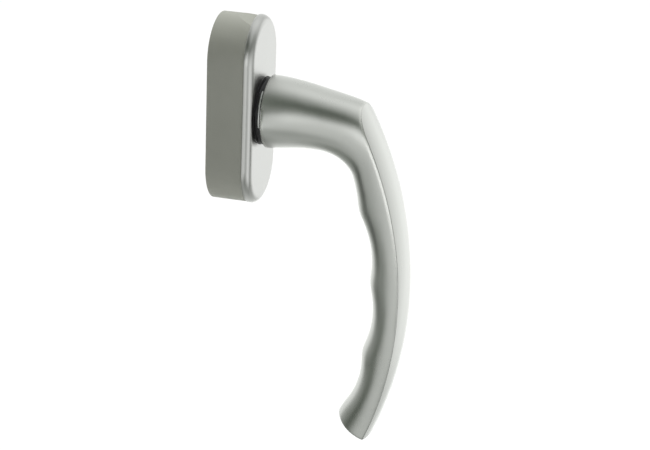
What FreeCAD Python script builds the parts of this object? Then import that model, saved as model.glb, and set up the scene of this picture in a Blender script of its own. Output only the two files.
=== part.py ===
import FreeCAD, Part
import math
import os
from FreeCAD import Vector

# Window handle with a pill-shaped rosette, a curved finger grip and a self-acting lock.
# Millimetres. Origin on the turning axis in the mounting face, X to the right,
# -Y out into the room, +Y into the sash, Z up. The grip hangs down.
# "out", "start" and "end" are distances from the mounting face into the room.

# Clearances
running_gap = 0.06          # radial gap of parts that turn or slide in each other
seat_gap = 0.05             # radial gap of parts that are pushed together
side_gap = 0.2              # between flat faces that turn past each other
thread_gap = 0.02           # round a screw in its thread
overrun = 1.0               # how far a cutting shape runs past what it cuts

# Rosette housing
rosette_width = 30.0
rosette_length = 70.0
housing_depth = 13.75
housing_wall = 2.2
front_wall = 2.25
screw_spacing = 43.0
screw_post_radius = 6.5
screw_head_radius = 5.0
screw_head_depth = 5.0
notch_depth = 2.0
notch_run = 7.0
inner_half_width = rosette_width / 2 - housing_wall
wall_face = housing_depth - front_wall
head_floor = housing_depth - screw_head_depth
post_height = screw_spacing / 2

# Rosette cover
cover_overhang = 0.3
cover_thickness = 3.27
cover_edge_radius = 3.0
cover_edge_land = 0.1       # straight stretch that is left below the rounded edge
cover_skin = 1.5
cover_rim = 1.7
cover_front = housing_depth + cover_thickness

# Back plate
plate_thickness = 1.5
plate_bore_radius = 8.0
peg_radius = 5.0
peg_height = 2.0
screw_hole_radius = 2.65
sleeve_wall = 0.95

# Small screws that hold the back plate
plate_screw_radius = 1.1
plate_screw_head_radius = 2.0
plate_screw_head_height = 1.0
plate_screw_sink = 0.05
plate_screw_length = 7.0
plate_screw_end_gap = 0.3
plate_screw_inset = 4.4
plate_screw_boss_radius = 2.3
cross_recess_span = 2.6
cross_recess_width = 0.5
cross_recess_depth = 0.6
boss_height = rosette_length / 2 - plate_screw_inset

# Collar between rosette and lever
collar_radius = 12.4
collar_reveal = 2.68        # from the cover's front to the neck's base
collar_sleeve_radius = 11.0
collar_rim = 0.9
collar_rim_gap = 0.2
collar_windows = 4
window_angle = 40.0         # degrees
window_wide_angle = 25.0    # degrees
window_narrow_angle = 23.0  # degrees
window_wide_depth = 0.8
window_narrow_depth = 0.4
ring_groove_width = 1.0
ring_groove_depth = 0.85
ring_wire_radius = 0.4
ring_wire_opening = 2.0
neck_start = cover_front + collar_reveal
collar_end = neck_start - collar_rim_gap
cover_ring_out = cover_front - cover_skin / 2

# Washers and retaining ring
slide_washer_thickness = 0.8
thrust_washer_thickness = 0.45
thrust_washer_overlap = 0.6
retaining_ring_thickness = 1.2
retaining_ring_width = 2.3
retaining_ring_opening = 5.0
retaining_ring_play = 0.15
ring_seat_depth = 0.5
slide_washer_radius = collar_radius - collar_rim
thrust_washer_radius = collar_sleeve_radius + thrust_washer_overlap
thrust_washer_start = wall_face - thrust_washer_thickness
retaining_ring_start = thrust_washer_start - retaining_ring_play - retaining_ring_thickness

# Lock: carrier on the spindle
spindle_square = 7.0
spindle_fit = 0.1
hub_corner_wall = 0.61      # wall of the hub at the corners of the square
hub_end_gap = 0.4
carrier_disc = 3.0
carrier_boss_back = 0.2
carrier_back = plate_thickness + side_gap
carrier_disc_end = carrier_back + carrier_disc
carrier_hub_radius = (spindle_square / 2 + spindle_fit) * math.sqrt(2) + hub_corner_wall

# Lock: fixed ring, as wide as the side walls and the screw posts leave room for
lock_ring_wall = 1.3
lock_ring_gap = 0.1
lock_ring_back_gap = 0.1
lock_lug_width = 7.0
lock_lug_gap = 0.4
lock_tab_radius = 1.2
lock_tab_length = 1.3
lock_stations = 4
lock_twist = 12.0           # degrees the spindle can lead the lever
post_edge = post_height - screw_post_radius
lock_ring_outer = min(inner_half_width, post_edge) - lock_ring_gap
lock_ring_inner = lock_ring_outer - lock_ring_wall
lock_lug_reach = post_edge - lock_lug_gap
lock_tab_reach = lock_lug_reach - lock_tab_radius
carrier_radius = lock_ring_inner - side_gap

# Lock: bolts
bolt_width = 3.8
bolt_floor = 0.52           # floor of the carrier under the bolt
bolt_play = 0.04
bolt_tip_inset = 0.1        # the drawn-in bolt's tip inside the carrier's rim
bolt_back_gap = 1.2
bolt_window_gap = 0.6
bolt_travel = 1.2
bolt_end_gap = 0.3
bolt_pin_radius = 0.9
bolt_pin_inset = 1.9
bolt_pin_end_gap = 0.1
bolt_tip = carrier_radius - bolt_tip_inset
bolt_back = carrier_hub_radius + bolt_back_gap

# Lock: cam on the shank
cam_thickness = 1.3
cam_rim_gap = 0.4
cam_slot_gap = 0.12
cam_slot_overtravel = 0.1   # share of the twist that the slots run on at each end
dog_radius = 1.1
dog_rim = 2.5               # from a dog's middle to the carrier's rim
dog_gap = 0.25
dog_end_gap = 0.3
dog_floor = 0.8             # carrier's floor and gap under a dog
cam_back = carrier_disc_end + side_gap
cam_end = cam_back + cam_thickness
cam_radius = lock_ring_outer - cam_rim_gap
dog_reach = carrier_radius - dog_rim
dog_tip = carrier_back + dog_floor

# Lock: springs
lock_spring_wire = 0.5
lock_spring_spread = 1.4
lock_spring_angle = 24.0    # degrees of the carrier's window beside a dog
lock_spring_slack = 3.0     # degrees
clip_width = 2.4
clip_length = 9.0
clip_thickness = 0.4
clip_back = 6.0
clip_gap = 0.15

# Drive shank
journal_radius = 9.0
journal_tail = 0.65         # journal's end behind the retaining ring's groove
shank_plug_radius = 8.0
shank_plug_length = 15.5
shank_end_wall = 1.5
tail_round_wall = 1.45
tail_flat_wall = 0.75
hub_gap = 0.1
grub_screw_inset = 8.3      # behind the neck's base
grub_screw_radius = 2.5
grub_screw_length = 3.75
grub_screw_dimple = 1.2
grub_dimple_gap = 0.1
grub_hex = 2.5
grub_hex_depth = 2.0
plug_end_gap = 0.5
ring_seat_start = retaining_ring_start - seat_gap
ring_seat_end = retaining_ring_start + retaining_ring_thickness + seat_gap
journal_start = ring_seat_start - journal_tail
shank_bore_radius = carrier_hub_radius + hub_gap
shank_bore_end = neck_start - shank_end_wall
carrier_hub_end = shank_bore_end - hub_end_gap
tail_radius = shank_bore_radius + tail_round_wall
tail_flat = shank_bore_radius + tail_flat_wall
grub_screw_out = neck_start + grub_screw_inset

# Detent
detent_flats = 17.0
detent_corner_radius = 10.2
detent_spring_thickness = 0.66
detent_spring_gap = 0.02
detent_spring_end_gap = 1.3
detent_seat_grip = 0.8
detent_seat_height = 7.3
detent_spring_base = detent_flats / 2 + detent_spring_gap
detent_spring_half = inner_half_width - detent_spring_end_gap
detent_spring_start = cam_end + side_gap
detent_spring_end = journal_start - side_gap

# Lever neck; "reach" is the distance from the neck's base out into the room
neck_base_radius = 13.4
neck_base_rounding = 0.7
neck_tapers = [             # reach, then how much less than the base: top, bottom, sides
    (2.8, 0.10, 0.15, 0.10),
    (5.8, 0.40, 0.55, 0.35),
    (9.3, 0.90, 1.10, 0.75),
    (13.3, 1.50, 1.65, 1.25),
]
bend_radius = 15.4
bend_setback = 33.9         # bend's centre behind the foremost point of the grip
bend_top_taper = 2.8
bend_bottom_taper = 1.8
bend_side_taper = 1.9
bend_top_slope = -0.19
bend_outer_depth = 23.1
bend_easing = 3             # power by which the bend's outside eases into the grip
bend_narrowing = 0.625      # share of the bend in which the neck narrows to the grip
bend_stations = 5

# Lever grip; "arc" is a length along its front curve, up from the foremost point
front_radius = 142.7
front_reach = 53.2          # foremost point of the front curve
front_height = -66.0
front_crown = 1.6           # bulge of the front face between its two edges
grip_half_width = 10.1
grip_end_half_width = 9.6
grip_end_taper = 50.0
grip_shoulder = 2.6         # widest point of the grip behind the edges of its front face
round_fullness = 2.0        # an ellipse; higher is squarer
grip_fullness = 2.35
neck_fullness_share = 0.6
bend_fullness_share = 0.75
first_ridge_arc = 37.4
ridge_spacings = [30.4, 30.0, 28.5]
ridge_depths = [13.9, 12.7, 12.9, 13.4]
finger_groove = 2.0
groove_stations = 6
bend_end_fill = 0.78        # how much fuller the grip starts than the bend ends
end_height = -121.1
end_run = 11.1
end_rise = 8.4
end_dome_radius = 24.0
end_overrun = 9.8
section_points = 24
bend_reach = front_reach - bend_setback
bend_height = bend_bottom_taper - neck_base_radius - bend_radius
front_centre_reach = front_reach - front_radius


# Shapes along the turning axis

def disc(radius, start, end, x=0.0, z=0.0):
    """Cylinder along the turning axis between two distances out of the mounting face."""
    return Part.makeCylinder(radius, end - start, Vector(x, -start, z), Vector(0, -1, 0))


def ring(outer, inner, start, end):
    return disc(outer, start, end).cut(disc(inner, start - overrun, end + overrun))


def block(width, height, start, end, x=0.0, z=0.0):
    """Box centred on x, z between two distances out of the mounting face."""
    corner = Vector(x - width / 2, -end, z - height / 2)
    return Part.makeBox(width, end - start, height, corner)


def stadium(width, length, start, end):
    """Pill-shaped slab, round at its top and bottom."""
    radius = width / 2
    straight = length - width
    slab = block(width, straight, start, end)
    for side in (-1, 1):
        slab = slab.fuse(disc(radius, start, end, 0, side * straight / 2))
    return slab.removeSplitter()


def turned(shape, angle):
    """Copy turned about the axis, counter-clockwise as seen from the room."""
    copy = shape.copy()
    copy.rotate(Vector(0, 0, 0), Vector(0, -1, 0), angle)
    return copy


def both_ends(shape):
    """A shape and its copy half a turn further on."""
    return shape.fuse(turned(shape, 180))


def polar(radius, angle, out):
    """Point at a radius and angle about the axis; 0 degrees is +X, 90 degrees is up."""
    a = math.radians(angle)
    return Vector(radius * math.cos(a), -out, radius * math.sin(a))


def sector(radius, low, high, start, end):
    """Wedge of a disc between two angles."""
    centre = Vector(0, -start, 0)
    first = polar(radius, low, start)
    last = polar(radius, high, start)
    rim = Part.Arc(first, polar(radius, (low + high) / 2, start), last).toShape()
    outline = Part.Wire([Part.makeLine(centre, first), rim, Part.makeLine(last, centre)])
    return Part.Face(outline).extrude(Vector(0, start - end, 0))


# Rosette

def rosette_outline(inset, start, end):
    return stadium(rosette_width - 2 * inset, rosette_length - 2 * inset, start, end)


def make_housing():
    shell = rosette_outline(0, 0, housing_depth)
    shell = shell.cut(rosette_outline(housing_wall, -overrun, wall_face))
    inside = rosette_outline(housing_wall, plate_thickness, wall_face)
    for side in (-1, 1):
        post = disc(screw_post_radius, plate_thickness, wall_face, 0, side * post_height)
        boss = disc(plate_screw_boss_radius, plate_thickness, wall_face, 0, side * boss_height)
        shell = shell.fuse(post.common(inside)).fuse(boss.common(inside))
        shell = shell.fuse(detent_seats(side))
    sleeve_radius = screw_hole_radius + sleeve_wall + seat_gap
    screw_end = plate_screw_length + plate_screw_end_gap
    for side in (-1, 1):
        z = side * post_height
        shell = shell.cut(disc(screw_head_radius, head_floor, housing_depth + overrun, 0, z))
        shell = shell.cut(disc(sleeve_radius, 0, head_floor + overrun, 0, z))
        shell = shell.cut(disc(plate_screw_radius, 0, screw_end, 0, side * boss_height))
    sleeve_hole = collar_sleeve_radius + seat_gap
    shell = shell.cut(disc(sleeve_hole, wall_face - overrun, housing_depth + overrun))
    return shell.cut(make_pry_notch()).removeSplitter()


def detent_seats(side):
    """Ledges that carry the two ends of one detent spring."""
    base = detent_spring_base + detent_spring_thickness + detent_spring_gap
    near = detent_spring_half - detent_seat_grip
    width = inner_half_width + housing_wall / 2 - near
    middle = side * (base + detent_seat_height / 2)
    wall_middle = wall_face + front_wall / 2
    seats = []
    for end in (-1, 1):
        x = end * (near + width / 2)
        seats.append(block(width, detent_seat_height, detent_spring_start, wall_middle, x, middle))
    return seats[0].fuse(seats[1])


def make_pry_notch():
    """Slanted cut at the top, where a screwdriver lifts the cover."""
    top = rosette_length / 2
    left = -rosette_width / 2
    corners = [
        Vector(left, -housing_depth, top - notch_depth),
        Vector(left, -housing_depth, top + notch_depth),
        Vector(left, -housing_depth + notch_run, top + notch_depth),
        Vector(left, -housing_depth + notch_run, top),
    ]
    outline = Part.makePolygon(corners + [corners[0]])
    return Part.Face(outline).extrude(Vector(rosette_width, 0, 0))


def make_cover():
    plate = rosette_outline(-cover_overhang, housing_depth, cover_front)
    front_edges = []
    for edge in plate.Edges:
        middle = edge.valueAt((edge.FirstParameter + edge.LastParameter) / 2)
        level = edge.BoundBox.YLength < cover_edge_land
        if level and middle.y < -housing_depth - cover_thickness / 2:
            front_edges.append(edge)
    radius = min(cover_edge_radius, cover_thickness - cover_edge_land)
    plate = plate.makeFillet(radius, front_edges)
    inner = cover_rim - cover_overhang
    plate = plate.cut(rosette_outline(inner, housing_depth - overrun, cover_front - cover_skin))
    hole = disc(collar_radius + running_gap, housing_depth - overrun, cover_front + overrun)
    return plate.cut(hole)


def make_cover_ring():
    """Open wire ring in the collar's groove that grips the cover."""
    radius = collar_radius - ring_wire_radius
    centre = Vector(0, -cover_ring_out, 0)
    wire_ring = Part.makeTorus(radius, ring_wire_radius, centre, Vector(0, 1, 0))
    start = cover_ring_out - 2 * ring_wire_radius
    end = cover_ring_out + 2 * ring_wire_radius
    opening = block(ring_wire_opening, 2 * ring_wire_opening, start, end, 0, -radius)
    return wire_ring.cut(opening)


def make_back_plate():
    plate = rosette_outline(housing_wall + seat_gap, 0, plate_thickness)
    tab_hole = lock_tab_radius + seat_gap
    for side in (-1, 1):
        peg = disc(peg_radius, -peg_height, plate_thickness / 2, 0, side * post_height)
        plate = plate.fuse(peg)
    through = (-peg_height - overrun, plate_thickness + overrun)
    for side in (-1, 1):
        plate = plate.cut(disc(screw_hole_radius, *through, 0, side * post_height))
        plate = plate.cut(disc(plate_screw_radius + seat_gap, *through, 0, side * boss_height))
        head = disc(plate_screw_head_radius + seat_gap, -overrun, plate_screw_head_height,
                    0, side * boss_height)
        plate = plate.cut(head)
        plate = plate.cut(disc(tab_hole, *through, 0, side * lock_tab_reach))
    return plate.cut(disc(plate_bore_radius, *through))


def make_rear_screws():
    screws = []
    for side in (-1, 1):
        z = side * boss_height
        head = disc(plate_screw_head_radius, plate_screw_sink, plate_screw_head_height, 0, z)
        thread = disc(plate_screw_radius - thread_gap, plate_screw_sink, plate_screw_length, 0, z)
        floor = plate_screw_sink + cross_recess_depth
        slot = block(cross_recess_span, cross_recess_width, 0, floor, 0, z)
        cross = slot.fuse(block(cross_recess_width, cross_recess_span, 0, floor, 0, z))
        screws.append(head.fuse(thread).cut(cross))
    return Part.makeCompound(screws)


def make_screw_sleeves():
    outer = screw_hole_radius + sleeve_wall
    sleeves = []
    for side in (-1, 1):
        z = side * post_height
        sleeve = disc(outer, plate_thickness, head_floor, 0, z)
        sleeves.append(sleeve.cut(disc(screw_hole_radius, 0, head_floor + overrun, 0, z)))
    return Part.makeCompound(sleeves)


# Bearing of the lever

def make_collar():
    """Bearing of the lever, fixed in the housing; its rim shows the washer in places."""
    collar = disc(collar_sleeve_radius, wall_face, cover_front)
    collar = collar.fuse(disc(collar_radius, housing_depth, collar_end))
    bore = disc(journal_radius + running_gap, wall_face - overrun, collar_end + overrun)
    collar = collar.cut(bore)
    groove_floor = collar_radius - ring_groove_depth
    groove_start = cover_ring_out - ring_groove_width / 2
    groove_end = cover_ring_out + ring_groove_width / 2
    collar = collar.cut(ring(collar_radius + overrun, groove_floor, groove_start, groove_end))
    washer_seat = neck_start - slide_washer_thickness
    collar = collar.cut(disc(slide_washer_radius + seat_gap, washer_seat, collar_end + overrun))
    for step in range(collar_windows):
        collar = collar.cut(turned(rim_window(), step * 360 / collar_windows))
    return collar.removeSplitter()


def rim_window():
    """Gap in the collar's rim, deep for one stretch and shallow for the next."""
    outer = collar_radius + overrun
    end = collar_end + overrun
    bend = window_angle + window_wide_angle
    last = bend + window_narrow_angle
    wide = sector(outer, window_angle, bend, collar_end - window_wide_depth, end)
    narrow = sector(outer, bend, last, collar_end - window_narrow_depth, end)
    return wide.fuse(narrow).cut(disc(slide_washer_radius, housing_depth, end + overrun))


def make_slide_washer():
    start = neck_start - slide_washer_thickness
    return ring(slide_washer_radius, journal_radius + running_gap, start, neck_start)


def make_thrust_washer():
    bore = journal_radius + running_gap
    return ring(thrust_washer_radius, bore, thrust_washer_start, wall_face)


def make_retaining_ring():
    """Spring ring in the shank's groove that keeps the lever in the rosette."""
    inner = journal_radius - ring_seat_depth + thread_gap
    outer = inner + retaining_ring_width
    start = retaining_ring_start
    end = start + retaining_ring_thickness
    opening = block(retaining_ring_opening, outer, start - overrun, end + overrun, 0, -outer)
    return ring(outer, inner, start, end).cut(opening)


def make_drive_shank():
    """Steel tube that carries the lever at its front and the cams at its tail."""
    shank = disc(tail_radius, cam_back, journal_start)
    for side in (-1, 1):
        x = side * (tail_flat + tail_radius / 2)
        flat = block(tail_radius, 2 * tail_radius, cam_back - overrun, journal_start, x)
        shank = shank.cut(flat)
    plug_end = neck_start + shank_plug_length
    shank = shank.fuse(disc(journal_radius, journal_start, neck_start))
    shank = shank.fuse(disc(shank_plug_radius, neck_start, plug_end))
    shank = shank.cut(disc(shank_bore_radius, cam_back - overrun, shank_bore_end))
    groove_floor = journal_radius - ring_seat_depth
    groove = ring(journal_radius + overrun, groove_floor, ring_seat_start, ring_seat_end)
    shank = shank.cut(groove)
    tip = Vector(0, -grub_screw_out, grub_screw_dimple - shank_plug_radius)
    dimple = Part.makeCylinder(grub_screw_radius + grub_dimple_gap, shank_plug_radius,
                               tip, Vector(0, 0, -1))
    return shank.cut(dimple).removeSplitter()


def make_grub_screw():
    head = grub_screw_dimple - shank_plug_radius - seat_gap - grub_screw_length
    screw = Part.makeCylinder(grub_screw_radius - thread_gap, grub_screw_length,
                              Vector(0, -grub_screw_out, head), Vector(0, 0, 1))
    corner = grub_hex / math.sqrt(3)
    points = []
    for step in range(7):
        a = math.radians(60 * step)
        points.append(Vector(corner * math.cos(a), -grub_screw_out + corner * math.sin(a), head))
    socket = Part.Face(Part.makePolygon(points)).extrude(Vector(0, 0, grub_hex_depth))
    return screw.cut(socket)


# Detent

def tail_hole(start, end):
    """Hole with two flats that fits the shank's tail."""
    hole = disc(tail_radius + seat_gap, start, end)
    width = 2 * (tail_flat + seat_gap)
    return hole.common(block(width, 4 * tail_radius, start, end))


def make_detent_cam():
    cam = block(detent_flats, detent_flats, cam_end, journal_start)
    cam = cam.common(disc(detent_corner_radius, cam_end, journal_start))
    return cam.cut(tail_hole(cam_end - overrun, journal_start + overrun))


def make_detent_spring(side):
    """Steel strip that lies on a flat of the detent cam."""
    z = side * (detent_spring_base + detent_spring_thickness / 2)
    return block(2 * detent_spring_half, detent_spring_thickness,
                 detent_spring_start, detent_spring_end, 0, z)


# Lock

def make_lock_ring():
    """Fixed ring with a window for the bolts every quarter turn."""
    start = plate_thickness
    end = cam_back - lock_ring_back_gap
    tab_start = start - lock_tab_length
    body = disc(lock_ring_outer, start, end)
    for side in (-1, 1):
        lug_middle = side * lock_lug_reach / 2
        body = body.fuse(block(lock_lug_width, lock_lug_reach, start, end, 0, lug_middle))
        body = body.fuse(disc(lock_tab_radius, tab_start, end, 0, side * lock_tab_reach))
    body = body.cut(disc(lock_ring_inner, tab_start - overrun, end + overrun))
    half_window = math.asin((bolt_width / 2 + bolt_window_gap) / lock_ring_inner)
    low = -math.degrees(half_window)
    high = lock_twist + math.degrees(half_window)
    depth = bolt_tip + bolt_travel + bolt_end_gap
    window = sector(depth, low, high, tab_start - overrun, end + overrun)
    for step in range(lock_stations):
        body = body.cut(turned(window, step * 360 / lock_stations))
    return body.removeSplitter()


def make_lock_carrier():
    """Turns with the window's spindle and holds the two bolts."""
    carrier = disc(carrier_radius, carrier_back, carrier_disc_end)
    boss_radius = plate_bore_radius - running_gap
    carrier = carrier.fuse(disc(boss_radius, carrier_boss_back, carrier_back))
    hub = disc(carrier_hub_radius, carrier_boss_back, carrier_hub_end)
    carrier = carrier.fuse(hub)
    square = spindle_square + 2 * spindle_fit
    carrier = carrier.cut(block(square, square, 0, carrier_hub_end + overrun))
    slot_reach = carrier_radius + overrun
    slot_width = bolt_width + 2 * running_gap
    slot_floor = carrier_back + bolt_floor
    slot_end = carrier_disc_end + overrun
    slot = block(slot_reach, slot_width, slot_floor, slot_end, slot_reach / 2).cut(hub)
    carrier = carrier.cut(both_ends(slot)).cut(both_ends(dog_window()))
    return carrier.cut(clip_window()).removeSplitter()


def dog_half_angle():
    return math.degrees((dog_radius + dog_gap) / dog_reach)


def dog_window():
    """Curved window in which a dog of the cam and its return spring lie."""
    low = 90 - lock_twist - dog_half_angle()
    high = 90 + dog_half_angle() + lock_spring_angle
    width = dog_radius + dog_gap
    start = dog_tip - dog_end_gap
    window = sector(dog_reach + width, low, high, start, cam_back)
    return window.cut(disc(dog_reach - width, start - overrun, cam_back + overrun))


def clip_window():
    """Slot in the side of the hub for the spindle clip."""
    reach = carrier_hub_radius + overrun
    end = clip_back + clip_length + 2 * side_gap
    return block(reach, clip_width + side_gap, clip_back, end, -reach / 2)


def make_spindle_clip():
    """Bowed leaf that keeps the spindle from rattling in its socket."""
    inner = spindle_square / 2 + spindle_fit + clip_gap
    outer = carrier_hub_radius - clip_gap
    start = clip_back + side_gap
    end = start + clip_length
    middle = (start + end) / 2
    tip = Vector(-outer, -start, 0)
    bow = Vector(-inner - clip_thickness, -middle, 0)
    tail = Vector(-outer, -end, 0)
    back = Part.Arc(tip, bow, tail).toShape()
    shift = Vector(clip_thickness, 0, 0)
    front = Part.Arc(tip + shift, bow + shift, tail + shift).toShape()
    ends = [Part.makeLine(tip, tip + shift), Part.makeLine(tail, tail + shift)]
    outline = Part.Wire(Part.__sortEdges__([back, front] + ends))
    leaf = Part.Face(outline).extrude(Vector(0, 0, clip_width))
    leaf.translate(Vector(0, 0, -clip_width / 2))
    return leaf


def make_lock_bolt(turn):
    """Bolt that slides in the carrier, with a pin in the cam's slanted slot."""
    start = carrier_back + bolt_floor + bolt_play
    end = carrier_disc_end - bolt_play
    bolt = block(bolt_tip - bolt_back, bolt_width, start, end, (bolt_tip + bolt_back) / 2)
    bolt = bolt.common(disc(bolt_tip, start, end))
    pin = disc(bolt_pin_radius, start, cam_end - bolt_pin_end_gap, bolt_tip - bolt_pin_inset)
    return turned(bolt.fuse(pin), turn)


def cam_slot():
    """Slanted slot: the pin moves out by the bolt's travel over the lock's twist."""
    points = []
    for share in (-cam_slot_overtravel, 0.5, 1 + cam_slot_overtravel):
        radius = bolt_tip - bolt_pin_inset + bolt_travel * share
        points.append(polar(radius, lock_twist * share, cam_back - overrun))
    path = Part.Wire([Part.Arc(*points).toShape()])
    outline = path.makeOffset2D(bolt_pin_radius + cam_slot_gap, 0, False, False, False)
    return Part.Face(outline).extrude(Vector(0, -cam_thickness - 2 * overrun, 0))


def make_lock_cam():
    cam = disc(cam_radius, cam_back, cam_end)
    cam = cam.cut(tail_hole(cam_back - overrun, cam_end + overrun))
    cam = cam.cut(both_ends(cam_slot()))
    dog = disc(dog_radius, dog_tip, cam_end, 0, dog_reach)
    return cam.fuse(both_ends(dog)).removeSplitter()


def make_lock_spring(turn):
    """Hairpin of wire beside a dog, which brings the lock back after a twist."""
    near = 90 + dog_half_angle()
    far = near + lock_spring_angle - lock_spring_slack
    wire_radius = lock_spring_wire / 2
    inner = dog_reach - lock_spring_spread / 2
    outer = dog_reach + lock_spring_spread / 2
    wedge = sector(outer + overrun, near, far, -overrun, overrun)
    link = Part.makeCylinder(wire_radius, lock_spring_spread + lock_spring_wire,
                             polar(inner - wire_radius, far, 0), polar(1, far, 0))
    spring = link
    for leg_radius in (inner, outer):
        leg = Part.makeTorus(leg_radius, wire_radius, Vector(0, 0, 0), Vector(0, 1, 0))
        spring = spring.fuse(leg.common(wedge))
    spring.translate(Vector(0, -(dog_tip + carrier_disc_end) / 2, 0))
    return turned(spring, turn)


# Lever

def blend(low, high, share):
    return low + (high - low) * share


def round_power(value, fullness):
    return math.copysign(abs(value) ** (2 / fullness), value)


def oval(centre_reach, centre_height, angle, inner, outer, half_width, fullness):
    """Points of a rounded section in the plane through X and a direction at an angle to -Y."""
    a = math.radians(angle)
    along = Vector(0, -math.cos(a), math.sin(a))
    origin = Vector(0, -centre_reach, centre_height)
    middle = (inner + outer) / 2
    half_depth = (outer - inner) / 2
    points = []
    for step in range(section_points):
        t = 2 * math.pi * step / section_points
        side = half_width * round_power(math.cos(t), fullness)
        depth = middle + half_depth * round_power(math.sin(t), fullness)
        points.append(origin + along * depth + Vector(side, 0, 0))
    return points


def neck_sections():
    """Round at the rosette, then slowly flatter and narrower."""
    base = neck_base_radius
    sections = [oval(0, 0, 90, -base, base, base, round_fullness)]
    for index, (reach, top, bottom, side) in enumerate(neck_tapers):
        share = neck_fullness_share * (index + 1) / len(neck_tapers)
        fullness = blend(round_fullness, grip_fullness, share)
        sections.append(oval(reach, 0, 90, bottom - base, base - top, base - side, fullness))
    return sections


def grip_front_angle():
    """Angle of the line from the front curve's centre through the centre of the bend."""
    rise = bend_height - front_height
    return math.degrees(math.atan2(rise, bend_reach - front_centre_reach))


def bend_front_depth():
    """Depth from the grip's front curve to the inside of the bend, where the grip begins."""
    run = bend_reach - front_centre_reach
    return front_radius - math.hypot(run, bend_height - front_height) - bend_radius


def bend_sections():
    """Fan of sections round the inside of the bend."""
    grip_outer = bend_radius + 2 * (bend_front_depth() - grip_shoulder)
    rise = neck_base_radius - bend_top_taper - bend_height
    start_half_width = neck_base_radius - bend_side_taper
    start_fullness = blend(round_fullness, grip_fullness, bend_fullness_share)
    sections = []
    for step in range(bend_stations):
        share = step / bend_stations
        angle = blend(90, grip_front_angle(), share)
        a = math.radians(angle)
        neck_outer = rise / (math.sin(a) - bend_top_slope * math.cos(a))
        neck_outer = min(neck_outer, bend_radius + bend_outer_depth)
        outer = blend(neck_outer, grip_outer, share ** bend_easing)
        half_width = blend(start_half_width, grip_half_width, min(1, share / bend_narrowing))
        fullness = blend(start_fullness, grip_fullness, share)
        sections.append(oval(bend_reach, bend_height, angle, bend_radius, outer,
                             half_width, fullness))
    return sections


def bend_arc():
    return math.radians(grip_front_angle()) * front_radius


def ridge_arcs():
    arcs = [first_ridge_arc]
    for spacing in ridge_spacings:
        arcs.append(arcs[-1] - spacing)
    return arcs


def grip_depth(arc):
    """Depth of the grip behind its front face, with a shallow groove for each finger."""
    arcs = ridge_arcs()
    if arc >= arcs[0]:
        share = (arc - arcs[0]) / (bend_arc() - arcs[0])
        start_depth = bend_front_depth() + bend_end_fill
        return blend(ridge_depths[0], start_depth, math.sin(share * math.pi / 2))
    for index, spacing in enumerate(ridge_spacings):
        if arc >= arcs[index + 1]:
            share = (arcs[index] - arc) / spacing
            chord = blend(ridge_depths[index], ridge_depths[index + 1], share)
            return chord - finger_groove * 4 * share * (1 - share)
    return ridge_depths[-1]


def grip_arcs():
    """Places of the grip's sections, as lengths along its front curve."""
    ridges = ridge_arcs()
    arcs = [bend_arc(), blend(bend_arc(), ridges[0], 0.5)]
    for index, spacing in enumerate(ridge_spacings):
        for step in range(groove_stations):
            arcs.append(ridges[index] - spacing * step / groove_stations)
    end_arc = front_radius * math.asin((end_height - front_height) / front_radius)
    arcs.append(ridges[-1])
    arcs.append(blend(ridges[-1], end_arc - end_overrun, 0.5))
    arcs.append(end_arc - end_overrun)
    return arcs


def grip_sections():
    sections = []
    for arc in grip_arcs():
        depth = grip_depth(arc)
        share = min(1, max(0, -arc / grip_end_taper))
        half_width = blend(grip_half_width, grip_end_half_width, share)
        angle = math.degrees(arc / front_radius)
        inner = front_radius - depth
        outer = inner + 2 * (depth - grip_shoulder)
        sections.append(oval(front_centre_reach, front_height, angle, inner, outer,
                             half_width, grip_fullness))
    return sections


def skin(sections):
    """Solid with a smooth side that follows a row of sections, and two flat ends."""
    degree = 3
    rows = []
    steps = [index / section_points for index in range(section_points + 1)]
    for points in sections:
        curve = Part.BSplineCurve()
        curve.interpolate(Points=points, PeriodicFlag=True, Parameters=steps)
        rows.append(curve.getPoles())
    spans = len(rows) - degree
    knots = [float(index) for index in range(spans + 1)]
    knot_counts = [degree + 1] + [1] * (spans - 1) + [degree + 1]
    surface = Part.BSplineSurface()
    surface.buildFromPolesMultsKnots(rows, knot_counts, curve.getMultiplicities(),
                                     knots, curve.getKnots(), False, True, degree, degree)
    faces = [surface.toShape()]
    for knot in (knots[0], knots[-1]):
        faces.append(Part.Face(Part.Wire([surface.uIso(knot).toShape()])))
    shell = Part.makeShell(faces)
    shell.sewShape()
    return Part.makeSolid(shell)


def front_barrel():
    """Barrel across the lever, whose skin is the crowned front face of the grip."""
    crown_radius = (grip_half_width ** 2 + front_crown ** 2) / (2 * front_crown)
    half = neck_base_radius + overrun
    top = front_radius + front_crown
    edge = top - crown_radius + math.sqrt(crown_radius ** 2 - half ** 2)
    left = Vector(-half, -front_centre_reach - edge, front_height)
    crest = Vector(0, -front_centre_reach - top, front_height)
    right = Vector(half, -front_centre_reach - edge, front_height)
    left_hub = Vector(-half, -front_centre_reach, front_height)
    right_hub = Vector(half, -front_centre_reach, front_height)
    edges = [Part.Arc(left, crest, right).toShape(), Part.makeLine(right, right_hub),
             Part.makeLine(right_hub, left_hub), Part.makeLine(left_hub, left)]
    return Part.Face(Part.Wire(edges)).revolve(left_hub, Vector(1, 0, 0), 360)


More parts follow.
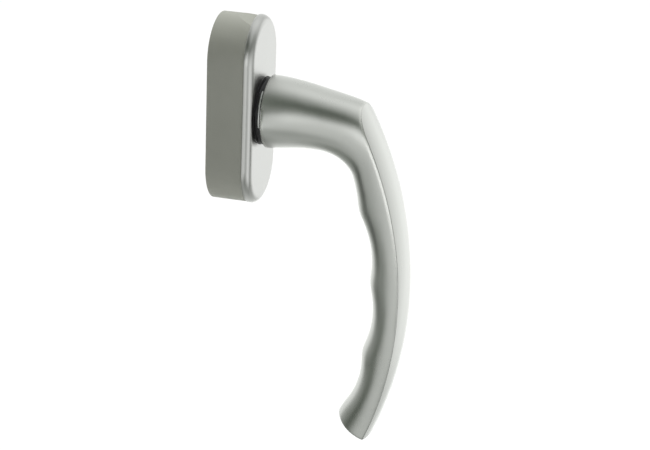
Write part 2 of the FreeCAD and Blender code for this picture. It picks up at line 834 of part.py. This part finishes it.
def grip_end_cut():
    """What lies beyond the shallow dome that ends the grip."""
    drop = end_height - front_height
    front = front_centre_reach + math.sqrt(front_radius ** 2 - drop ** 2)
    back = front - end_run
    chord = math.hypot(end_run, end_rise)
    height = math.sqrt(end_dome_radius ** 2 - (chord / 2) ** 2)
    centre_reach = (front + back) / 2 + height * end_rise / chord
    centre_height = end_height + end_rise / 2 + height * end_run / chord
    width = 4 * grip_half_width
    dome = Part.makeCylinder(end_dome_radius, width,
                             Vector(-width / 2, -centre_reach, centre_height), Vector(1, 0, 0))
    top = end_height + 1.5 * end_rise
    below = block(width, 2 * end_dome_radius, back - end_dome_radius, front + end_dome_radius,
                  0, top - end_dome_radius)
    return below.cut(dome)


def base_rounding():
    """Sliver outside the rounded edge of the neck's base."""
    rounded = disc(neck_base_radius, 0, 2 * neck_base_rounding)
    edge = [edge for edge in rounded.Edges if edge.BoundBox.YMin > -neck_base_rounding]
    rounded = rounded.makeFillet(neck_base_rounding, edge)
    return disc(neck_base_radius + overrun, -overrun, neck_base_rounding).cut(rounded)


def make_lever():
    body = skin(neck_sections() + bend_sections() + grip_sections())
    body = body.cut(base_rounding())
    body = body.common(front_barrel())
    body = body.cut(grip_end_cut())
    body.translate(Vector(0, -neck_start, 0))
    bore_end = neck_start + shank_plug_length + plug_end_gap
    body = body.cut(disc(shank_plug_radius + seat_gap, neck_start - overrun, bore_end))
    thread = Part.makeCylinder(grub_screw_radius, 2 * neck_base_radius,
                               Vector(0, -grub_screw_out, 0), Vector(0, 0, -1))
    return body.cut(thread)


def main():
    os.makedirs("parts", exist_ok=True)
    shapes = {
        "rosette_housing": make_housing(),
        "cover_plate": make_cover(),
        "cover_ring": make_cover_ring(),
        "back_plate": make_back_plate(),
        "rear_screws": make_rear_screws(),
        "screw_sleeves": make_screw_sleeves(),
        "collar_bearing": make_collar(),
        "slide_washer": make_slide_washer(),
        "thrust_washer": make_thrust_washer(),
        "retaining_ring": make_retaining_ring(),
        "drive_shank": make_drive_shank(),
        "grub_screw": make_grub_screw(),
        "detent_cam": make_detent_cam(),
        "upper_detent_spring": make_detent_spring(1),
        "lower_detent_spring": make_detent_spring(-1),
        "lock_ring": make_lock_ring(),
        "lock_carrier": make_lock_carrier(),
        "lock_cam": make_lock_cam(),
        "right_lock_bolt": make_lock_bolt(0),
        "left_lock_bolt": make_lock_bolt(180),
        "upper_lock_spring": make_lock_spring(0),
        "lower_lock_spring": make_lock_spring(180),
        "spindle_clip": make_spindle_clip(),
        "lever": make_lever(),
    }
    for name, shape in shapes.items():
        shape.exportStep("parts/" + name + ".step")
        print(name, len(shape.Solids), "solids", round(shape.Volume, 1), "mm3", shape.isValid())


main()
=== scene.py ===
# window handle: finishes and fine detail over the CAD frame, then a small product studio
import math
import bmesh
import bpy
from mathutils import Matrix, Vector


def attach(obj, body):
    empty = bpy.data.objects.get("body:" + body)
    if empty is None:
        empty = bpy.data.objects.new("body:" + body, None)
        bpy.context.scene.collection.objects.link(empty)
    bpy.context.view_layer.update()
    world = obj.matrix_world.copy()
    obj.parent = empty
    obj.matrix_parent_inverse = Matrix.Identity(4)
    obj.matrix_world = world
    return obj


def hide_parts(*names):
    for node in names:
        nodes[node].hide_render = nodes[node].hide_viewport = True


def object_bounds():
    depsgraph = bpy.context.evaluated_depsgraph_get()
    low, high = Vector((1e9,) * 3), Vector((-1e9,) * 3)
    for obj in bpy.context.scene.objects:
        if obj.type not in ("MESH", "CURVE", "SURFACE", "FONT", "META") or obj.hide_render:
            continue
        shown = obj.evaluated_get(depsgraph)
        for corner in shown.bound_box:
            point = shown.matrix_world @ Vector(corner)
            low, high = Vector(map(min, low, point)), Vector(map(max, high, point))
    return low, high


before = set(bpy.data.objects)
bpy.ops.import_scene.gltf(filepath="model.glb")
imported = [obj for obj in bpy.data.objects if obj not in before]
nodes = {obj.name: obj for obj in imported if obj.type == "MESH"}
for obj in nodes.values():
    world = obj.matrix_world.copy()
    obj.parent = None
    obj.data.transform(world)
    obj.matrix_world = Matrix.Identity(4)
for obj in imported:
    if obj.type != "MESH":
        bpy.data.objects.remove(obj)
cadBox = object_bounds()
print("frame loaded:", len(nodes), "nodes")

mm = 0.001  # in metres, the scene's unit

# where the nodes of a tree are laid out, in rows that end before the shader
treeGrid = {"left": -1400, "top": 300, "columns": 7, "across": 180, "down": 220}
# which inputs of a mix node are its first and second value, and which output is the result
mixSlots = {"RGBA": (6, 7, 2), "VECTOR": (4, 5, 1)}


class Graph:
    # short calls for the nodes of one tree
    def __init__(self, tree):
        self.tree = tree
        self.count = 0

    def fill(self, node, inputs):
        # an output of another node is joined to the input, a plain value is set there
        for key, value in inputs.items():
            slot = node.inputs[key]
            if isinstance(value, bpy.types.NodeSocket):
                self.tree.links.new(value, slot)
            elif slot.type == "RGBA":
                slot.default_value = (*value, 1)
            else:
                slot.default_value = value

    def add(self, kind, inputs=None, **settings):
        node = self.tree.nodes.new(kind)
        row, column = divmod(self.count, treeGrid["columns"])
        node.location.x = treeGrid["left"] + treeGrid["across"] * column
        node.location.y = treeGrid["top"] - treeGrid["down"] * row
        self.count += 1
        for key, value in settings.items():
            setattr(node, key, value)
        self.fill(node, inputs or {})
        return node

    def maths(self, operation, *values):
        return self.add("ShaderNodeMath", dict(enumerate(values)), operation=operation).outputs["Value"]

    def vectorMaths(self, operation, *values):
        return self.add("ShaderNodeVectorMath", dict(enumerate(values)), operation=operation).outputs

    def spread(self, value, low, high, start, end, **settings):
        # takes start..end to low..high, and stays level beyond them
        node = self.add("ShaderNodeMapRange", {"Value": value, "From Min": start, "From Max": end,
                                               "To Min": low, "To Max": high}, **settings)
        return node.outputs["Result"]

    def blend(self, kind, amount, first, second):
        firstSlot, secondSlot, result = mixSlots[kind]
        inputs = {"Factor": amount, firstSlot: first, secondSlot: second}
        return self.add("ShaderNodeMix", inputs, data_type=kind).outputs[result]

    def blendShaders(self, amount, first, second):
        inputs = {"Fac": amount, 1: first.outputs[0], 2: second.outputs[0]}
        return self.add("ShaderNodeMixShader", inputs).outputs["Shader"]


# detail and roughness of each kind of noise, and the range that most of its values keep to
noiseKinds = {"grain": (2.0, 0.55), "cloud": (3.0, 0.55), "brush": (4.0, 0.65), "moulded": (3.0, 0.60)}
noiseRange = (0.3, 0.7)
# how far the softened normal agrees with the plain one where wear begins, and where it is full
wearReach = (0.995, 0.86)


class Surface(Graph):
    # a material whose effects sit in the piece's own coordinates, so they move with it
    def __init__(self, name):
        self.material = bpy.data.materials.new(name)
        self.material.use_nodes = True
        super().__init__(self.material.node_tree)
        self.body = self.tree.nodes["Principled BSDF"]

    def coordinate(self, kind):
        return self.add("ShaderNodeTexCoord").outputs[kind]

    def along(self, axis, vector):
        return self.add("ShaderNodeSeparateXYZ", {"Vector": vector}).outputs[axis]

    def noise(self, kind, scale, stretch=(1, 1, 1), at=(0, 0, 0)):
        detail, rough = noiseKinds[kind]
        mapped = self.add("ShaderNodeMapping", {"Vector": self.coordinate("Object"), "Location": at,
                                                "Scale": stretch})
        node = self.add("ShaderNodeTexNoise", {"Vector": mapped.outputs["Vector"], "Scale": scale,
                                               "Detail": detail, "Roughness": rough})
        return node.outputs["Fac"]

    def vary(self, noise, low, high):
        return self.spread(noise, low, high, *noiseRange)

    def bump(self, height, strength, relief, normal):
        node = self.add("ShaderNodeBump", {"Height": height, "Strength": strength, "Distance": relief,
                                           "Normal": normal})
        return node.outputs["Normal"]

    def softEdge(self, radius, samples=8):
        return self.add("ShaderNodeBevel", {"Radius": radius}, samples=samples).outputs["Normal"]

    def edgeMask(self, soft, reach, plain="Normal"):
        # one where the softened normal has turned away from the plain one, so only along edges
        none, full = reach
        normal = self.add("ShaderNodeNewGeometry").outputs[plain]
        return self.spread(self.vectorMaths("DOT_PRODUCT", soft, normal)["Value"], 1, 0, full, none)

    def wearAndHighlight(self, soft, share):
        return self.maths("MULTIPLY", self.edgeMask(soft, wearReach, "True Normal"), share)

    def crease(self, edge, look):
        # the flanks and the neck's top roll over softly towards the front face, which keeps a crisp edge
        crisp = self.softEdge(edge)
        rolled = self.softEdge(look["radius"], look["samples"])
        height = self.along("Z", self.coordinate("Object"))
        facing = self.coordinate("Normal")
        sideways = self.maths("ABSOLUTE", self.along("X", facing))
        upward = self.along("Z", facing)
        below = self.spread(height, 1, 0, *look["below"])
        flank = self.maths("MULTIPLY", below, self.spread(sideways, 0, 1, *look["flank"]))
        gentle = self.maths("MULTIPLY", flank, self.spread(height, look["endShare"], 1, *look["endFade"]))
        share = self.maths("MAXIMUM", gentle, self.spread(upward, 0, 1, *look["top"]))
        soft = self.vectorMaths("NORMALIZE", self.blend("VECTOR", share, crisp, rolled))["Vector"]
        # a painted highlight lies on the flank and the neck where they meet the face
        bright = self.maths("MULTIPLY", self.edgeMask(rolled, look["highlightReach"]), flank)
        bright = self.maths("MULTIPLY", bright, self.spread(height, 0, 1, *look["highlightFade"]))
        tip = self.maths("MULTIPLY", self.edgeMask(rolled, look["tipHighlightReach"]),
                         self.spread(upward, 0, look["tipShare"], *look["top"]))
        # and a fine shadow line runs along the face's side of the edge
        face = self.maths("MULTIPLY", self.maths("SUBTRACT", below, flank),
                          self.spread(self.along("Y", facing), 1, 0, *look["face"]))
        shadow = self.maths("MULTIPLY", self.edgeMask(crisp, look["shadow"]), face)
        return soft, self.maths("MAXIMUM", bright, tip), shadow


def satinMetal(name, look, crease=None):
    metal = Surface(name)
    fine = metal.noise("grain", look["grain"])
    cloud = metal.noise("cloud", look["cloud"], at=look["cloudAt"])
    lines = metal.noise("brush", look["brush"], look["brushStretch"])
    if crease:
        soft, wearAndHighlight, shadow = metal.crease(look["edge"], crease)
    else:
        soft = metal.softEdge(look["edge"])
        wearAndHighlight = metal.wearAndHighlight(soft, look["wear"])
    tone = metal.blend("RGBA", metal.vary(cloud, 0, 1), look["dark"], look["light"])
    tone = metal.blend("RGBA", metal.vary(lines, 0, look["brushTone"]), tone, look["brushLight"])
    # edges take their wear colour, and on the lever's crease that colour is a painted highlight
    tone = metal.blend("RGBA", wearAndHighlight, tone, look["wearAndHighlightColour"])
    if crease:
        tone = metal.blend("RGBA", shadow, tone, crease["shadowColour"])
    rough = metal.maths("ADD", metal.vary(cloud, *look["rough"]), metal.vary(lines, 0, look["brushRough"]))
    rough = metal.maths("SUBTRACT", rough, metal.maths("MULTIPLY", wearAndHighlight, look["wornGloss"]))
    grain = metal.bump(fine, look["grainBump"], look["relief"], soft)
    brushed = metal.bump(lines, look["brushBump"], look["relief"], grain)
    metal.fill(metal.body, {"Base Color": tone, "Metallic": 1.0, "Roughness": rough, "Normal": brushed})
    return metal.material


def mouldedPlastic(name, look):
    plastic = Surface(name)
    grain = plastic.noise("moulded", look["grain"])
    cloud = plastic.noise("cloud", look["cloud"], at=look["cloudAt"])
    soft = plastic.softEdge(look["edge"])
    wearAndHighlight = plastic.wearAndHighlight(soft, look["wear"])
    tone = plastic.blend("RGBA", plastic.vary(cloud, 0, 1), look["dark"], look["light"])
    tone = plastic.blend("RGBA", wearAndHighlight, tone, look["wearAndHighlightColour"])
    rough = plastic.maths("SUBTRACT", plastic.vary(grain, *look["rough"]),
                          plastic.maths("MULTIPLY", wearAndHighlight, look["wornGloss"]))
    grained = plastic.bump(grain, look["grainBump"], look["relief"], soft)
    plastic.fill(plastic.body, {"Base Color": tone, "Roughness": rough, "Normal": grained,
                                "Specular IOR Level": look["specular"]})
    return plastic.material


# what all metals and all plastics share: noise scales are per metre, rough goes from smooth to rough,
# and wornGloss is what worn edges and the lever's painted highlight lose of it
metalLook = {"cloudAt": (0.3, 0.1, 0.7), "relief": 0.02 * mm, "wornGloss": 0.05}
plasticLook = {"cloudAt": (0.2, 0.5, 0.1), "relief": 0.05 * mm, "wornGloss": 0.08}

# shot-blasted and anodised aluminium, finely ground along the lever and across the cover
groundLook = dict(metalLook, grain=5200, grainBump=0.16, cloud=38, brushTone=0.18, brushRough=0.04)
# the lever's edge colour is a painted highlight along its crease
leverLook = dict(groundLook, dark=(0.575, 0.58, 0.565), light=(0.625, 0.63, 0.615), rough=(0.25, 0.31),
                 wearAndHighlightColour=(0.96, 0.96, 0.94), brush=1500, brushStretch=(1, 1, 0.06),
                 brushLight=(0.67, 0.675, 0.66), brushBump=0.05, edge=0.60 * mm)
coverLook = dict(groundLook, dark=(0.515, 0.515, 0.51), light=(0.56, 0.56, 0.555), rough=(0.26, 0.32),
                 wearAndHighlightColour=(0.66, 0.66, 0.65), brush=1300, brushStretch=(0.05, 1, 1),
                 brushLight=(0.60, 0.60, 0.595), brushBump=0.07, edge=0.30 * mm, wear=0.35)

# the crease where the lever's flanks and the neck's top meet the front face
leverCrease = {
    "radius": 2.0 * mm, "samples": 12,
    "flank": (0.25, 0.45),                # how far sideways normals point where a flank begins and is full
    "top": (0.62, 0.85),                  # the same upwards, for the neck's top
    "face": (-0.7, -0.3),                 # the same along y, where the front face is full and where it ends
    "below": (2.5 * mm, 6.0 * mm),        # heights where the flanks are full and where they end
    "endShare": 0.1,                      # what is left of the soft roll at the grip's end
    "endFade": (-78 * mm, -44 * mm),      # heights where it is down to that and where it is full
    "highlightReach": (0.9982, 0.986),           # how far the normals agree where the painted highlight begins and is full
    "highlightFade": (-54 * mm, -28 * mm),  # heights where it sets in along the grip and where it is full
    "tipHighlightReach": (0.9990, 0.985),        # the same at the neck's top, and how bright it gets there
    "tipShare": 0.45,
    "shadow": (0.9999, 0.9986),           # the same for the shadow line
    "shadowColour": (0.12, 0.12, 0.12),
}

steelLook = dict(metalLook, dark=(0.55, 0.55, 0.55), light=(0.64, 0.64, 0.63), rough=(0.20, 0.27),
                 wearAndHighlightColour=(0.8, 0.8, 0.79), grain=6000, grainBump=0.08, cloud=60, brush=1800,
                 brushStretch=(1, 0.08, 1), brushTone=0.3, brushLight=(0.70, 0.70, 0.69),
                 brushRough=0.06, brushBump=0.1, edge=0.08 * mm, wear=0.5)
springLook = dict(steelLook, dark=(0.30, 0.31, 0.33), light=(0.40, 0.41, 0.43), rough=(0.24, 0.32),
                  wearAndHighlightColour=(0.6, 0.6, 0.6), brushLight=(0.46, 0.46, 0.47), edge=0.05 * mm)
zincLook = dict(steelLook, dark=(0.40, 0.42, 0.44), light=(0.52, 0.53, 0.53), rough=(0.38, 0.5),
                grain=2400, grainBump=0.5, brushTone=0.1, brushBump=0.02, edge=0.16 * mm)
brassLook = dict(steelLook, dark=(0.66, 0.50, 0.24), light=(0.76, 0.60, 0.31), rough=(0.24, 0.32),
                 wearAndHighlightColour=(0.9, 0.78, 0.5), brushLight=(0.82, 0.68, 0.4), brushStretch=(0.08, 1, 1))
# the slide washer is tumbled bright, so it catches light from all round
washerLook = dict(steelLook, dark=(0.80, 0.81, 0.80), light=(0.88, 0.89, 0.88), rough=(0.42, 0.5),
                  edge=0.05 * mm)

housingLook = dict(plasticLook, dark=(0.185, 0.188, 0.165), light=(0.205, 0.208, 0.185), rough=(0.46, 0.58),
                   wearAndHighlightColour=(0.34, 0.34, 0.32), grain=2600, grainBump=0.35, cloud=45, specular=0.45,
                   edge=0.25 * mm, wear=0.4)
blackLook = dict(plasticLook, dark=(0.012, 0.012, 0.013), light=(0.02, 0.02, 0.021), rough=(0.44, 0.56),
                 wearAndHighlightColour=(0.06, 0.06, 0.06), grain=3000, grainBump=0.2, cloud=60, specular=0.4,
                 edge=0.12 * mm, wear=0.4)

leverMetal = satinMetal("satinAluminium", leverLook, leverCrease)
coverMetal = satinMetal("satinCoverAluminium", coverLook)
brightSteel = satinMetal("turnedSteel", steelLook)
springSteel = satinMetal("blueSpringSteel", springLook)
castZinc = satinMetal("castZinc", zincLook)
brass = satinMetal("boltBrass", brassLook)
washerSteel = satinMetal("tumbledWasherSteel", washerLook)
housingPlastic = mouldedPlastic("greyHousingPlastic", housingLook)
blackPlastic = mouldedPlastic("blackBearingPlastic", blackLook)
print("finishes made")

finishes = {
    "lever": leverMetal, "cover_plate": coverMetal, "rosette_housing": housingPlastic,
    "collar_bearing": blackPlastic, "slide_washer": brightSteel, "thrust_washer": brightSteel,
    "drive_shank": brightSteel, "detent_cam": brightSteel, "lock_ring": brightSteel,
    "lock_cam": brightSteel, "screw_sleeves": brightSteel, "retaining_ring": springSteel,
    "grub_screw": springSteel, "upper_detent_spring": springSteel, "lower_detent_spring": springSteel,
    "upper_lock_spring": springSteel, "lower_lock_spring": springSteel, "spindle_clip": springSteel,
    "rear_screws": springSteel, "cover_ring": springSteel, "lock_carrier": castZinc,
    "back_plate": castZinc, "right_lock_bolt": brass, "left_lock_bolt": brass,
}

for name, material in finishes.items():
    for entry in nodes[name].material_slots:
        entry.material = material
print("finishes on:", len(finishes), "nodes")


# how fine the turned pieces are: steps in a full turn, angles in degrees, weld in metres
meshing = {"steps": 144, "weld": 1e-7, "smoothBelow": 32.0, "chamferAbove": 40.0, "chamferSegments": 2}


def turned(shape, profile, start=0.0, sweep=360.0):
    # spins a closed outline of (radius, distance out) about the handle's axis, angles in degrees above -x
    way = Vector((-math.cos(math.radians(start)), 0, math.sin(math.radians(start))))
    corners = [shape.verts.new(way * radius * mm + Vector((0, -out * mm, 0))) for radius, out in profile]
    outline = shape.faces.new(corners)
    geometry = corners + list(outline.edges)
    whole = sweep >= 360.0
    if whole:
        bmesh.ops.delete(shape, geom=[outline], context="FACES_ONLY")
    else:
        geometry.append(outline)
    bmesh.ops.spin(shape, geom=geometry, cent=(0, 0, 0), axis=(0, 1, 0), angle=math.radians(sweep),
                   steps=round(meshing["steps"] * sweep / 360.0), use_merge=whole)


def finished(name, shape, chamfer, material, body, slot, *replaced):
    # breaks the sharp edges, then makes the piece
    sharp = math.radians(meshing["chamferAbove"])
    edges = [edge for edge in shape.edges if len(edge.link_faces) == 2 and edge.calc_face_angle(0) > sharp]
    bmesh.ops.bevel(shape, geom=edges, offset=chamfer, affect="EDGES", segments=meshing["chamferSegments"],
                    profile=0.5, material=-1, clamp_overlap=True)
    bmesh.ops.remove_doubles(shape, verts=shape.verts, dist=meshing["weld"])
    bmesh.ops.recalc_face_normals(shape, faces=shape.faces)
    mesh = bpy.data.meshes.new(name)
    shape.to_mesh(mesh)
    shape.free()
    mesh.shade_smooth()
    mesh.set_sharp_from_angle(angle=math.radians(meshing["smoothBelow"]))
    mesh.materials.append(material)
    obj = bpy.data.objects.new(name, mesh)
    bpy.context.scene.collection.objects.link(obj)
    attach(obj, body)
    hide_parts(*replaced)


# stepped bearing collar: a sleeve in the housing, a slim barrel, and a rim with slots round the washer;
# radii and distances out in mm, angles of the slots in degrees
collar = {
    "bore": 9.06, "sleeve": 11.0, "back": 11.5,
    "flange": 12.4, "flangeBack": 13.75, "flangeFront": 17.06,
    "groove": 11.55, "grooveStart": 15.77, "grooveEnd": 16.77,
    "barrel": 10.9, "barrelLead": 0.10,
    "hub": 11.55, "rim": 12.38, "rimInner": 12.14, "rimBack": 18.2, "front": 19.5,
    "slotBack": 18.30, "slotFront": 19.06, "slimSlotBack": 18.52,
    "slimSlot": (-16.0, 22.0), "wideSlotEnd": 52.0,
    "backLead": 0.3, "backLip": 0.06, "frontLead": 0.2, "frontLip": 0.15, "chamfer": 0.05,
}


def makeCollar():
    c = collar
    shape = bmesh.new()
    turned(shape, [(c["bore"], c["back"]), (c["sleeve"], c["back"]), (c["sleeve"], c["flangeBack"]),
                   (c["flange"], c["flangeBack"]), (c["flange"], c["grooveStart"]),
                   (c["groove"], c["grooveStart"]), (c["groove"], c["grooveEnd"]),
                   (c["flange"], c["grooveEnd"]), (c["flange"], c["flangeFront"]),
                   (c["barrel"], c["flangeFront"] + c["barrelLead"]), (c["barrel"], c["rimBack"]),
                   (c["bore"], c["rimBack"])])
    # back lip, front lip, and the walls between them that leave the slots open
    turned(shape, [(c["hub"], c["rimBack"]), (c["rim"] - c["backLead"], c["rimBack"]),
                   (c["rim"], c["slotBack"] - c["backLip"]), (c["rim"], c["slotBack"]),
                   (c["hub"], c["slotBack"])])
    turned(shape, [(c["hub"], c["slotFront"]), (c["rim"], c["slotFront"]),
                   (c["rim"], c["front"] - c["frontLip"]), (c["rim"] - c["frontLead"], c["front"]),
                   (c["hub"], c["front"])])
    # each wall's front, and the angles where it starts and ends
    slimStart, slimEnd = c["slimSlot"]
    walls = [(c["slotFront"], c["wideSlotEnd"], slimStart + 180), (c["slimSlotBack"], slimStart, slimEnd)]
    for half in (0, 180):
        for front, start, end in walls:
            turned(shape, [(c["rimInner"], c["slotBack"]), (c["rim"], c["slotBack"]), (c["rim"], front),
                           (c["rimInner"], front)], start + half, end - start)
    finished("collarBearing", shape, c["chamfer"] * mm, blackPlastic, "rosette", "black_plastic",
             "collar_bearing")


makeCollar()
print("collar made")

# stepped slide washer: its flange turns behind the collar's front lip, its hub carries the neck;
# radii and distances out in mm
washer = {"bore": 9.06, "hub": 11.48, "flange": 12.1, "back": 18.34, "flangeFront": 19.02, "front": 19.68,
          "chamfer": 0.06}


def makeSlideWasher():
    w = washer
    shape = bmesh.new()
    turned(shape, [(w["bore"], w["back"]), (w["flange"], w["back"]), (w["flange"], w["flangeFront"]),
                   (w["hub"], w["flangeFront"]), (w["hub"], w["front"]), (w["bore"], w["front"])])
    finished("slideWasher", shape, w["chamfer"] * mm, washerSteel, "rosette", "bright_steel", "slide_washer")


makeSlideWasher()
print("slide washer made")

# the plain white backdrop, and its share in what glossy rays meet
backdrop = {"colour": (1, 1, 1), "glossyShare": 0.06}


def backdropShare(graph):
    # camera and transmission rays meet the backdrop whole, glossy rays only its share
    path = graph.add("ShaderNodeLightPath").outputs
    seen = graph.maths("MAXIMUM", path["Is Camera Ray"], path["Is Transmission Ray"])
    return graph.maths("MULTIPLY_ADD", path["Is Glossy Ray"], backdrop["glossyShare"], seen)


# a pale floor that keeps the handle's shadow; drop and size in metres
floor = {"drop": 0.045, "size": 6.0, "tone": (0.86, 0.86, 0.855), "rough": 0.9,
         "glow": 1.0, "glowShare": 0.88}


def makeFloor():
    shape = bmesh.new()
    bmesh.ops.create_grid(shape, x_segments=1, y_segments=1, size=floor["size"] / 2)
    bmesh.ops.translate(shape, vec=(0, 0, cadBox[0][2] - floor["drop"]), verts=shape.verts)
    mesh = bpy.data.meshes.new("studioFloor")
    shape.to_mesh(mesh)
    shape.free()
    obj = bpy.data.objects.new("studioFloor", mesh)
    bpy.context.scene.collection.objects.link(obj)
    obj.visible_glossy = False  # the metal mirrors the soft world instead
    paint = Surface("paleFloor")
    paint.fill(paint.body, {"Base Color": floor["tone"], "Roughness": floor["rough"]})
    glow = paint.add("ShaderNodeEmission", {"Color": backdrop["colour"], "Strength": floor["glow"]})
    share = paint.maths("MULTIPLY", backdropShare(paint), floor["glowShare"])
    paint.fill(paint.tree.nodes["Material Output"], {"Surface": paint.blendShaders(share, paint.body, glow)})
    mesh.materials.append(paint.material)


def towards(turn, height):
    # the direction at an azimuth and a height, in degrees
    turn, height = math.radians(turn), math.radians(height)
    return (math.cos(height) * math.cos(turn), math.cos(height) * math.sin(turn), math.sin(height))


# the light all round: an even tone, and a glow that rises towards one side
softWorld = {"ambient": (0.173, 0.194, 0.163), "lowest": (0.03, 0.03, 0.03),
             "glowWay": (48, -11), "glowReach": (-0.80, 1.13), "glowGain": 0.955}
# large soft cards that add to it and flags that take from it: azimuth, height, inner and outer angle
# in degrees, brightness
softCards = {
    "sideCard": (195.2, 0.6, 13.0, 23.0, 0.92),
    "lowSideCard": (178.0, -16.0, 9.0, 28.5, 0.53),
    "lowFrontCard": (249.0, -15.5, 14.0, 44.0, 0.76),
    "creaseCard": (246.0, -24.0, 4.0, 15.0, 0.46),
    "creaseFlag": (296.0, -22.0, 4.0, 13.0, -0.20),
    "rimCard": (15.6, -23.0, 6.0, 28.0, 0.85),
    "backCard": (322.4, -7.7, 18.7, 31.5, 0.60),
    "overheadCard": (279.7, 57.0, 12.5, 57.2, 0.66),
    "overheadFlag": (176.6, 60.0, 8.0, 42.0, -0.19),
    "frontFlag": (258.0, 27.0, 9.0, 34.2, -0.40),
    "wallFlag": (117.0, -4.0, 14.0, 50.0, -0.56),
    "underFlag": (90.1, -50.0, 17.1, 37.0, -0.61),
}


def makeWorld():
    world = bpy.data.worlds.new("studioWorld")
    bpy.context.scene.world = world
    world.use_nodes = True
    world.node_tree.nodes.clear()
    sky = Graph(world.node_tree)
    direction = sky.add("ShaderNodeTexCoord").outputs["Generated"]

    def glow(way, start, end, gain):
        # light that rises smoothly towards a direction
        nearness = sky.vectorMaths("DOT_PRODUCT", direction, towards(*way))["Value"]
        return sky.spread(nearness, 0, gain, start, end, interpolation_type="SMOOTHSTEP")

    light = glow(softWorld["glowWay"], *softWorld["glowReach"], softWorld["glowGain"])
    for turn, height, inner, outer, gain in softCards.values():
        card = glow((turn, height), math.cos(math.radians(outer)), math.cos(math.radians(inner)), gain)
        light = sky.maths("ADD", light, card)
    tone = sky.vectorMaths("ADD", light, softWorld["ambient"])["Vector"]
    tone = sky.vectorMaths("MAXIMUM", tone, softWorld["lowest"])["Vector"]
    soft = sky.add("ShaderNodeBackground", {"Color": tone})
    plain = sky.add("ShaderNodeBackground", {"Color": backdrop["colour"]})
    sky.add("ShaderNodeOutputWorld", {"Surface": sky.blendShaders(backdropShare(sky), soft, plain)})


# lamps that fill the plastics and the floor and stay out of the metal's mirror: place, size, watts,
# and the point that they all face
fillLamps = {"overheadFill": ((0.34, -0.10, 1.10), (0.8, 0.8), 22.0),
             "sideFill": ((-1.25, -0.25, 0.05), (1.1, 1.1), 5.4)}
fillAim = (0, -0.03, -0.03)
# small cards close to the handle that show only as reflections: point lit, way from it to the card,
# distance, size, watts
nearCards = {"gripCard": ((-0.010, -0.058, -0.018), (138.0, -22.0), 0.18, (0.10, 0.055), 0.0072)}


def makeLamp(name, at, aim, size, watts, mirrored):
    lamp = bpy.data.lights.new(name, "AREA")
    lamp.shape = "RECTANGLE"
    lamp.size, lamp.size_y = size
    lamp.energy = watts
    obj = bpy.data.objects.new(name, lamp)
    obj.location = at
    obj.rotation_euler = (Vector(aim) - Vector(at)).to_track_quat("-Z", "Y").to_euler()
    obj.visible_glossy = mirrored
    obj.visible_diffuse = not mirrored
    obj.visible_camera = False
    bpy.context.scene.collection.objects.link(obj)


# the camera: place in metres, angles in degrees, lens and sensor in mm
camera = {"eye": (-0.63574, -0.21886, 0.20333), "turn": 15.5710, "tilt": -20.3250, "roll": 2.2800,
          "lens": 105.88, "sensor": 36.0, "nearest": 0.05}


def makeCamera():
    lens = bpy.data.cameras.new("productCamera")
    lens.lens = camera["lens"]
    lens.sensor_width = camera["sensor"]
    lens.clip_start = camera["nearest"]
    obj = bpy.data.objects.new("productCamera", lens)
    aim = Vector(towards(camera["turn"], camera["tilt"])).to_track_quat("-Z", "Y").to_matrix()
    roll = Matrix.Rotation(math.radians(camera["roll"]), 3, "Z")
    obj.matrix_world = Matrix.Translation(camera["eye"]) @ (aim @ roll).to_4x4()
    bpy.context.scene.collection.objects.link(obj)
    bpy.context.scene.camera = obj


makeFloor()
makeWorld()
for name, (at, size, watts) in fillLamps.items():
    makeLamp(name, at, fillAim, size, watts, mirrored=False)
for name, (aim, way, distance, size, watts) in nearCards.items():
    makeLamp(name, Vector(aim) + Vector(towards(*way)) * distance, aim, size, watts, mirrored=True)
makeCamera()
bpy.context.scene.view_settings.view_transform = "Standard"
print("studio ready")
